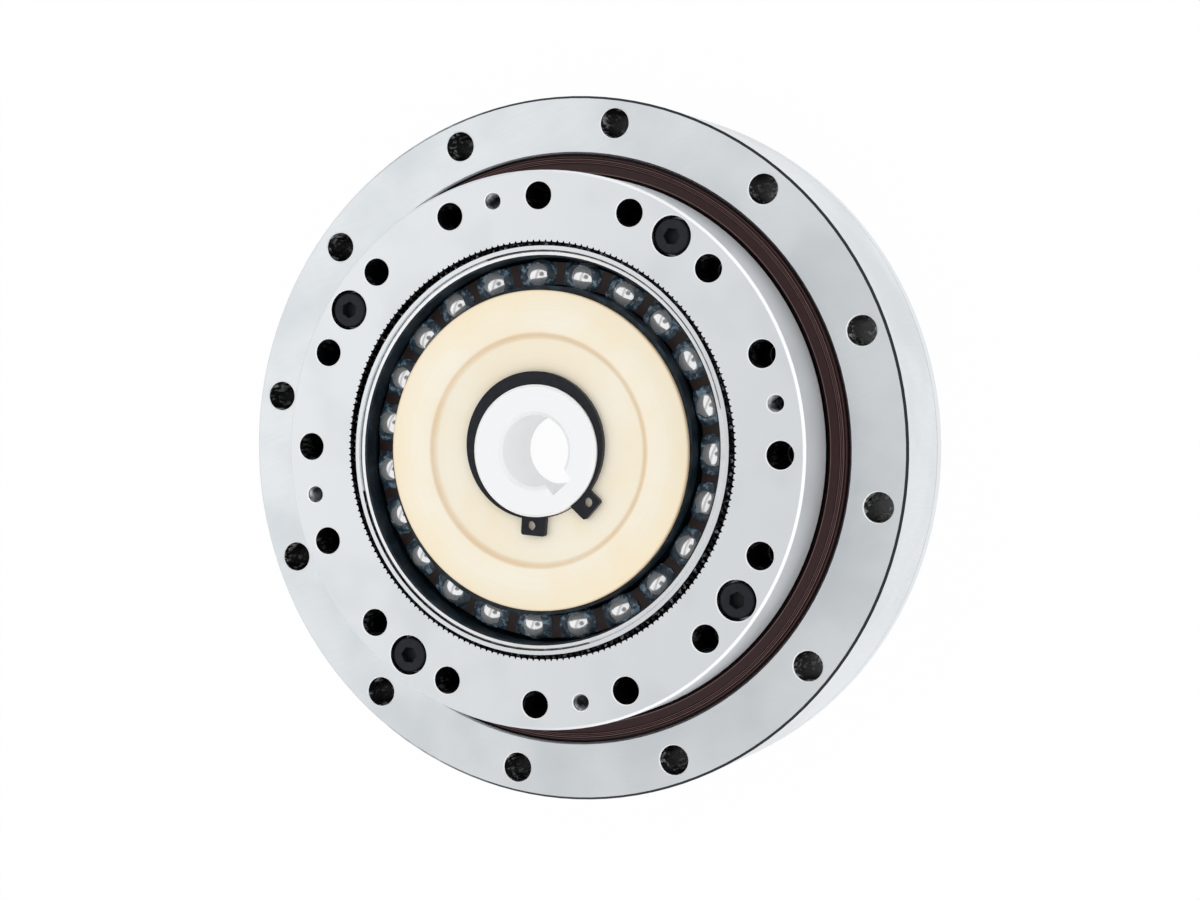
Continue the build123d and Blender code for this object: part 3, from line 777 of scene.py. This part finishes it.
class MetalSettings(bpy.types.PropertyGroup):
    """Colours of the steels."""

    steel: colour("Steel", "Ground steel", (0.80, 0.832, 0.855))
    steel_shade: colour("Steel shade", "Darker clouds and lines", (0.68, 0.715, 0.745))
    spline: colour("Spline", "Circular spline", (0.80, 0.826, 0.85))
    polish: colour("Polish", "Polished balls and races", (0.9, 0.9, 0.91))
    hub: colour("Hub", "Bright turned hub", (0.95, 0.96, 0.97))
    oxide: colour("Oxide", "Black oxide", (0.005, 0.006, 0.009))
    oxide_light: colour("Oxide, light", "Rubbed black oxide", (0.018, 0.021, 0.028))
    # Painted shade: this near-black stands for the shade in deep holes, threads and tooth spaces
    bore: colour("Bore", "Wall of a deep hole", (0.005, 0.006, 0.007))
    # Painted highlight: the near-white of cut edges stands for the light that they catch
    edge: colour("Edge", "Cut edges", (0.98, 0.99, 1.0))
    # Width of the band of painted shade round the circular spline's tooth ends
    tip_shade_width: length("Tip bevel", "Dark bevel of the circular spline's teeth", 0.5)
    # Direction of the side where the edges carry painted highlight and painted shade
    side_x: FloatProperty(name="Side, x", description="Side on which edges differ", default=-0.35)
    side_y: FloatProperty(name="Side, y", description="Side on which edges differ", default=-0.94)
    thread_pitch: length("Thread pitch", "Of the jack holes", 0.7)


class PlateSettings(bpy.types.PropertyGroup):
    """Retainer plate."""

    pale: colour("Pale gold", "Main colour", (0.965, 0.905, 0.76))
    warm: colour("Warm gold", "Clouds", (0.965, 0.83, 0.59))
    # Colour of the painted shade in the step's creases and along the plate's rim
    crease_shade: colour("Crease", "In the step", (0.72, 0.46, 0.22))
    step_radius: length("Step radius", "Where the middle is set down", 23.2)
    step_width: length("Step width", "Width of the rounded step", 1.6)
    step_depth: length("Step depth", "How far the middle is set down", 0.8)


class SealSettings(bpy.types.PropertyGroup):
    """Shaft seal."""

    rubber: colour("Rubber", "Main colour", (0.030, 0.011, 0.012))
    rubber_light: colour("Rubber, light", "Mottles", (0.040, 0.016, 0.017))
    # Colour of the painted highlights along the crests of the seal's ridges; the crest width below is half
    # the width of such a highlight
    rubbed: colour("Rubbed", "Crests of the ridges", (0.34, 0.22, 0.21))
    crest: length("Crest", "Half the width of a ridge's rubbed crest", 0.1)


class BearingSettings(bpy.types.PropertyGroup):
    """Flexible ball bearing."""

    resin: colour("Resin", "Cage", (0.012, 0.005, 0.004))
    resin_light: colour("Resin, light", "Cage where it is rubbed", (0.030, 0.014, 0.012))
    grease: colour("Grease", "Main colour", (0.022, 0.042, 0.062))
    grease_light: colour("Grease, thin", "Where it is thin", (0.21, 0.32, 0.41))
    grease_dark: colour("Grease, dark", "In its folds", (0.010, 0.015, 0.020))
    bare_cap: length("Bare cap", "Radius of a ball's clean top", 2.2)
    smear_reach: length("Smear reach", "How far it reaches past a ball's middle", 3.6)
    film_lift: length("Film lift", "Of the film over the cage's back", 0.3)
    film_thickness: length("Film thickness", "Of the film behind the balls", 0.3)
    film_reach: length("Film reach", "How far the film reaches past the cage", 0.9)
    seed: IntProperty(name="Seed", description="Arrangement of the grease", default=7, min=1)


# Operators


class GEAR_OT_stage(bpy.types.Operator):
    """Set up the floor, the light and the camera"""

    bl_idname = "gear.stage"
    bl_label = "Stage"

    def execute(self, context):
        look = context.scene.gear_stage
        self.add_floor(look)
        self.add_world(context.scene, look)
        self.add_camera(context.scene, look)
        context.scene.view_settings.view_transform = "Standard"
        return {"FINISHED"}

    def add_floor(self, look):
        bpy.ops.object.select_all(action="DESELECT")
        bpy.ops.mesh.primitive_plane_add(size=look.floor_size, location=ORIGIN)
        floor = bpy.context.active_object
        floor.name = "floor"
        material = bpy.data.materials.new("paper")
        material.use_nodes = True
        finish = Finish(material.node_tree)
        paths = finish.node("ShaderNodeLightPath").socket.node.outputs
        names = ("Is Camera Ray", "Is Glossy Ray", "Is Transmission Ray")
        seen = [Value(finish, paths[name]) for name in names]
        bright = seen[0].larger(seen[1]).larger(seen[2])
        grain = finish.noise(finish.place(), 40.0, 2.0)
        paper = finish.mix(grain * 0.02, look.paper, 0.9)
        matt = finish.node("ShaderNodeBsdfDiffuse", inputs={"Color": paper})
        glow = finish.node("ShaderNodeEmission", inputs={"Color": opaque(1.0), "Strength": 1.0})
        both = finish.node("ShaderNodeMixShader", inputs={0: bright * 0.97, 1: matt, 2: glow})
        finish.node("ShaderNodeOutputMaterial", inputs={"Surface": both})
        floor.data.materials.append(material)

    def add_world(self, scene, look):
        """Make a bright tent, white for the camera, and with a soft grey band that the metal mirrors."""
        world = bpy.data.worlds.new("tent")
        scene.world = world
        world.use_nodes = True
        finish = Finish(world.node_tree)
        ray = finish.node("ShaderNodeTexCoord", output="Generated")
        along = on_circle(1, look.heading - math.pi) + PICTURE_UP * 0.45
        slant = finish.dot(ray, along)
        shapes = finish.noise(ray, 5.0, 3.0, 0.6)
        facing = finish.dot(ray, self.outward(look))
        lens = (facing + (shapes - 0.5) * 0.1).spread(0.94, 0.975)
        tone = finish.node("ShaderNodeValToRGB", {"stops": GREY_BAND}, {0: slant * 0.5 + 0.5})
        camera_ray = finish.node("ShaderNodeLightPath", output="Is Camera Ray")
        shine = finish.mix(camera_ray, tone * look.light * (1 - lens * 0.9), 1.0)
        sky = finish.node("ShaderNodeBackground", inputs={"Color": shine, "Strength": 1.0})
        finish.node("ShaderNodeOutputWorld", inputs={"Surface": sky})

    def outward(self, look):
        """Direction from the gear to the camera."""
        return on_circle(math.sin(look.tilt), look.heading, math.cos(look.tilt))

    def add_camera(self, scene, look):
        outward = self.outward(look)
        right = PICTURE_UP.cross(outward).normalized()
        upwards = outward.cross(right).normalized()
        turn = Matrix((right, upwards, outward)).transposed()
        camera_data = bpy.data.cameras.new("camera")
        camera_data.lens = look.lens
        camera_data.sensor_width = 36.0
        camera_data.sensor_fit = "HORIZONTAL"
        camera = bpy.data.objects.new("camera", camera_data)
        camera.matrix_world = Matrix.Translation(Vector(look.aim) + outward * look.distance) @ turn.to_4x4()
        scene.collection.objects.link(camera)
        scene.camera = camera


class GEAR_OT_outer_ring(bpy.types.Operator):
    """Finish the outer ring with its filling plug, pin and flange screws"""

    bl_idname = "gear.outer_ring"
    bl_label = "Outer ring"

    def execute(self, context):
        ring = finished_copy("outer_ring", "bearing_outer_ring", ground_steel())
        # Hole walls: near-black painted shade with painted glints
        paint_where(
            ring,
            drilled_wall("mounting_hole_wall", 0.75),
            lambda at, normal: upright(normal) and near_holes(at, BODY_HOLES, WALL_MARGIN),
        )
        # Cut edges of the holes: painted highlight
        paint_where(
            ring,
            painted_edge_highlight(),
            lambda at, normal: bevelled(normal) and near_holes(at, BODY_HOLES, EDGE_MARGIN),
        )
        # Outer edge: painted shade on one side, as a painted reflection
        rim = BODY_R - 0.62 * MM
        paint_where(
            ring,
            ring_edge(),
            lambda at, normal: WALL_TILT < normal.z < 0.9 and at.xy.length > rim,
        )
        seat(ring, "root", "outer_ring")
        rows = [
            ("filler_plug", "roller_filling_plug", ground_steel(), "ground_steel"),
            ("filler_pin", "filling_plug_pin", bearing_steel(), "bearing_steel"),
            ("flange_screws", "countersunk_screws", black_steel(), "black_steel"),
        ]
        for node, name, material, slot in rows:
            seat(finished_copy(node, name, material), "root", node)
        return {"FINISHED"}


class GEAR_OT_seal(bpy.types.Operator):
    """Turn the shaft seal, with fine ridges on its outer band and a raised lip"""

    bl_idname = "gear.seal"
    bl_label = "Shaft seal"

    def execute(self, context):
        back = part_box("oil_seal")[0].z
        outline = [(SEAL_R, back)]
        outline += self.profile(SEAL_GROOVE + SEAL_BAND)
        for crest, _ in SEAL_CRESTS[1:4]:
            outline += self.profile([(crest + across, up) for across, up in SEAL_RIDGE])
        outline += self.profile(SEAL_FLAT + SEAL_LIP)
        outline += self.profile([((SEAL_R - SEAL_LIP_R) / MM, SEAL_LIP_TIP)] + SEAL_WEB)
        outline.append((SEAL_R - SEAL_WEB[-1][0] * MM, back))
        seal = shade(turned("shaft_seal", outline), seal_rubber(), math.radians(40))
        seat(seal, "root", "oil_seal")
        return {"FINISHED"}

    def profile(self, points):
        """Turn places in from the seat and up from the ring's face into radius and height."""
        return [(SEAL_R - inward * MM, RING_FACE_Z + up * MM) for inward, up in points]


class GEAR_OT_output(bpy.types.Operator):
    """Finish the circular spline, its cap screws and the bearing's inner ring"""

    bl_idname = "gear.output"
    bl_label = "Output"

    def execute(self, context):
        look = context.scene.gear_metals
        spline = finished_copy("circular_spline", "circular_spline_gear", spline_face())
        # Hole walls: near-black painted shade with painted glints
        bore = drilled_wall("output_hole_wall", 0.12)
        rim_steel = turned_steel("spline_rim", look.spline, 0.01, 0.4, 0.65)
        cut = (OUTPUT_HOLES, SCREW_RECESSES, JACK_HOLES)
        paint_where(
            spline,
            bore,
            lambda at, normal: upright(normal)
            and (near_holes(at, OUTPUT_HOLES, WALL_MARGIN) or near_holes(at, SCREW_RECESSES, WALL_MARGIN)),
        )
        # Cut edges of the holes: painted highlight
        paint_where(
            spline,
            painted_edge_highlight(),
            lambda at, normal: bevelled(normal) and any(near_holes(at, holes, EDGE_MARGIN) for holes in cut),
        )
        # Outer edge: painted highlight on one side
        paint_where(
            spline,
            spline_edge(),
            lambda at, normal: bevelled(normal) and at.xy.length > OUTPUT_R - EDGE_MARGIN,
        )
        paint_where(
            spline,
            rim_steel,
            lambda at, normal: upright(normal) and at.xy.length > OUTPUT_R - WALL_MARGIN,
        )
        # Tooth spaces: painted near-black shade
        paint_where(
            spline,
            painted_tooth_shade(),
            lambda at, normal: upright(normal) and at.xy.length < OUTPUT_HOLES[0] - 6 * MM,
        )
        seat(spline, "output", "circular_spline")
        screws = finished_copy("spline_screws", "socket_cap_screws", black_steel())
        seat(screws, "output", "spline_screws")
        ring = finished_copy("bearing_inner_ring", "inner_bearing_ring", ground_steel())
        # Hole walls in the inner ring: near-black painted shade with painted glints
        paint_where(ring, bore, lambda at, normal: near_holes(at, OUTPUT_HOLES, 0.25 * MM))
        seat(ring, "output", "bearing_inner_ring")
        self.add_threads(look.thread_pitch)
        return {"FINISHED"}

    def add_threads(self, pitch):
        """Cut threads in the jack holes, as a thin lining with a ridge for each turn."""
        circle, count, wall, start = JACK_HOLES
        crest = wall - 0.04 * MM
        root = wall - 0.3 * MM
        turns = round((SPLINE_FACE_Z - SPLINE_BACK_Z - 2 * pitch) / pitch)
        outline = [(wall, SPLINE_FACE_Z - pitch)]
        for turn in range(turns):
            top = SPLINE_FACE_Z - pitch * (turn + 1)
            outline += [(crest, top), (root, top - pitch / 2)]
        outline += [(crest, SPLINE_BACK_Z + pitch), (wall, SPLINE_BACK_Z + pitch)]
        lining = shade(turned("thread", outline, 24), thread_steel(), math.radians(20))
        places = [Matrix.Translation(on_circle(circle, angle)) for angle in around(count, start)]
        seat(joined("jack_threads", copies(lining, places)), "output")


class GEAR_OT_flexspline(bpy.types.Operator):
    """Finish the flexspline"""

    bl_idname = "gear.flexspline"
    bl_label = "Flexspline"

    def execute(self, context):
        look = context.scene.gear_metals
        steel = turned_steel("flexspline_steel", look.steel, 0.006, 0.2)
        hat = finished_copy("flexspline", "flexspline_hat", steel)
        race_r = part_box("bearing_outer_race")[0].xy.length / math.sqrt(2)
        # Teeth of the flexspline: painted near-black shade in their spaces
        paint_where(
            hat,
            painted_tooth_shade(),
            lambda at, normal: 0.1 * MM < FLEX_FACE_Z - at.z < 14.5 * MM and at.xy.length > race_r,
        )
        seat(hat, "root", "flexspline")
        return {"FINISHED"}


class GEAR_OT_bearing(bpy.types.Operator):
    """Finish the flexible bearing: races, balls, cage and grease"""

    bl_idname = "gear.bearing"
    bl_label = "Flexible bearing"

    def execute(self, context):
        steel = bearing_steel()
        outer = finished_copy("bearing_outer_race", "flexible_outer_race", steel)
        # Inner walls of the race: grease, and painted shade between the races
        paint_where(
            outer, greased_and_shaded_steel(), lambda at, normal: normal.z < 0.9 and normal.xy.dot(at.xy) < 0
        )
        seat(outer, "root", "bearing_outer_race")
        # The inner race: grease, and painted shade between the races
        inner = finished_copy("bearing_inner_race", "flexible_inner_race", greased_and_shaded_steel())
        seat(inner, "wave_generator", "bearing_inner_race")
        balls = finished_copy("bearing_balls", "steel_balls", steel)
        shade(balls, steel, math.radians(60))
        seat(balls, "ball_set", "bearing_balls")
        cage = finished_copy("ball_cage", "comb_cage", cage_resin())
        seat(cage, "ball_set", "ball_cage")
        self.add_grease(context.scene.gear_bearing)
        return {"FINISHED"}

    def add_grease(self, look):
        """Smear a torn ring of grease round each ball, between the two races."""
        cap = look.bare_cap
        on_ball = math.sqrt(BALL_RADIUS**2 - cap**2)
        cage = CAGE_FACE_Z - BALL_Z
        outline = [
            (cap, on_ball - 0.15 * MM),
            (cap + 0.1 * MM, on_ball + 0.1 * MM),
            (cap + 0.4 * MM, on_ball + 0.2 * MM),
            (BALL_RADIUS, on_ball + 0.05 * MM),
            (BALL_RADIUS + 0.4 * MM, on_ball - 0.15 * MM),
            (BALL_RADIUS + 0.8 * MM, cage + 0.1 * MM),
            (BALL_RADIUS + 0.6 * MM, cage - 0.4 * MM),
            (BALL_RADIUS - 0.3 * MM, cage - 0.8 * MM),
        ]
        smear = shade(turned("smear", outline, 40), grease(), math.radians(60))
        balls = [on_circle(BALL_CIRCLE_R, angle, BALL_Z) for angle in around(BALL_COUNT, BALL_START)]
        smears = copies(smear, [Matrix.Translation(ball) for ball in balls])
        # Without a seed above zero, the noise starts from the clock and differs in each run
        noise.seed_set(look.seed)
        for number, ring in enumerate(smears):
            roughened(ring, 1.1 * MM, 0.3 * MM, look.seed + number)
        piece = seat(joined("ball_grease", smears), "ball_set")
        self.keep_between(piece, 2 * BALL_CIRCLE_R - CAGE_R, CAGE_R)
        self.add_film(look)

    def add_film(self, look):
        """Close the two gaps beside the cage with a film of grease at the back of the ball tracks; the dark
        film also stands as painted shade in these gaps.
        """
        back = CAGE_BACK_Z + look.film_lift
        front = back + look.film_thickness
        outer = CAGE_R + look.film_reach
        inner = 2 * BALL_CIRCLE_R - outer
        film = turned("grease_and_shade_film", [(inner, back), (outer, back), (outer, front), (inner, front)])
        seat(shade(film, grease()), "ball_set")

    def keep_between(self, piece, low, high):
        """Press what reaches past the two rims of the cage back to them."""
        for point in piece.data.vertices:
            radius = point.co.xy.length
            kept = min(max(radius, low), high) / radius
            point.co.x *= kept
            point.co.y *= kept


class GEAR_OT_wave_generator(bpy.types.Operator):
    """Finish the cam plug, the coupling, the hub, the retainer plate and the snap ring"""

    bl_idname = "gear.wave_generator"
    bl_label = "Wave generator"

    def execute(self, context):
        look = context.scene.gear_metals
        plug_steel = turned_steel("plug_steel", look.steel_shade, 0.015, 0.3)
        hub_steel = turned_steel("hub_steel", look.hub, 0.008, 0.42, 0.2)
        rows = [
            ("cam_plug", "elliptical_plug", plug_steel, "plug_steel"),
            ("oldham_insert", "slotted_coupling_ring", plug_steel, "plug_steel"),
            ("rub_washer", "thrust_washer", gold_plate(), "gold_plate"),
            ("input_hub", "keyed_hub", hub_steel, "hub_steel"),
            ("snap_ring", "hub_snap_ring", black_steel(), "black_steel"),
        ]
        for node, name, material, slot in rows:
            piece = finished_copy(node, name, material)
            if node == "input_hub":
                bore = turned_steel("hub_bore", look.hub, 0.008, 0.3, 0.75)
                paint_where(piece, bore, lambda at, normal: upright(normal) and normal.xy.dot(at.xy) < 0)
            seat(piece, "wave_generator", node)
        self.add_retainer(context.scene.gear_plate)
        return {"FINISHED"}

    def add_retainer(self, look):
        """Press the retainer plate: a flat disc whose middle is set down over a rounded step."""
        thick = PLATE_FACE_Z - PLATE_BACK_Z - look.step_depth
        round_off = 0.12 * MM
        top = [(PLATE_R, PLATE_FACE_Z - round_off), (PLATE_R - round_off, PLATE_FACE_Z)]
        steps = 8
        for part in range(steps + 1):
            share = part / steps
            fall = (1 - math.cos(math.pi * share)) / 2 * look.step_depth
            top.append((look.step_radius - look.step_width * share, PLATE_FACE_Z - fall))
        top.append((PLATE_BORE_R, PLATE_FACE_Z - look.step_depth))
        bottom = [(radius, height - thick) for radius, height in reversed(top[1:])]
        bottom.append((PLATE_R, PLATE_FACE_Z - thick))
        plate = shade(turned("pressed_retainer", top + bottom), gold_plate(), math.radians(50))
        seat(plate, "wave_generator", "retainer_plate")


class GEAR_OT_rollers(bpy.types.Operator):
    """Finish the crossed rollers and their spacers"""

    bl_idname = "gear.rollers"
    bl_label = "Crossed rollers"

    def execute(self, context):
        rows = [
            ("cross_rollers_a", "rollers_leaning_in", bearing_steel(), "bearing_steel"),
            ("cross_rollers_b", "rollers_leaning_out", bearing_steel(), "bearing_steel"),
            ("roller_spacers", "spacers_of_rollers", pale_plastic(), "spacer_plastic"),
        ]
        for node, name, material, slot in rows:
            seat(finished_copy(node, name, material), "roller_set", node)
        return {"FINISHED"}


class GEAR_PT_panel(bpy.types.Panel):
    """Lists the steps that dress the gear"""

    bl_label = "Strain Wave Gear"
    bl_idname = "GEAR_PT_panel"
    bl_space_type = "VIEW_3D"
    bl_region_type = "UI"
    bl_category = "Strain Wave Gear"

    def draw(self, context):
        for operator in OPERATORS:
            self.layout.operator(operator.bl_idname)
        for name in SETTINGS:
            group = getattr(context.scene, name)
            for key in group.bl_rna.properties.keys():
                if key not in ("rna_type", "name"):
                    self.layout.prop(group, key)


SETTINGS = {
    "gear_stage": StageSettings,
    "gear_metals": MetalSettings,
    "gear_plate": PlateSettings,
    "gear_seal": SealSettings,
    "gear_bearing": BearingSettings,
}

OPERATORS = [
    GEAR_OT_stage,
    GEAR_OT_outer_ring,
    GEAR_OT_seal,
    GEAR_OT_output,
    GEAR_OT_flexspline,
    GEAR_OT_bearing,
    GEAR_OT_wave_generator,
    GEAR_OT_rollers,
]


def register():
    for name, group in SETTINGS.items():
        bpy.utils.register_class(group)
        setattr(bpy.types.Scene, name, PointerProperty(type=group))
    for operator in OPERATORS:
        bpy.utils.register_class(operator)
    bpy.utils.register_class(GEAR_PT_panel)


def unregister():
    bpy.utils.unregister_class(GEAR_PT_panel)
    for operator in reversed(OPERATORS):
        bpy.utils.unregister_class(operator)
    for name, group in SETTINGS.items():
        delattr(bpy.types.Scene, name)
        bpy.utils.unregister_class(group)


def main():
    register()
    bpy.ops.gear.stage()
    bpy.ops.gear.outer_ring()
    bpy.ops.gear.seal()
    bpy.ops.gear.output()
    bpy.ops.gear.flexspline()
    bpy.ops.gear.bearing()
    bpy.ops.gear.wave_generator()
    bpy.ops.gear.rollers()


if __name__ == "__main__":
    main()
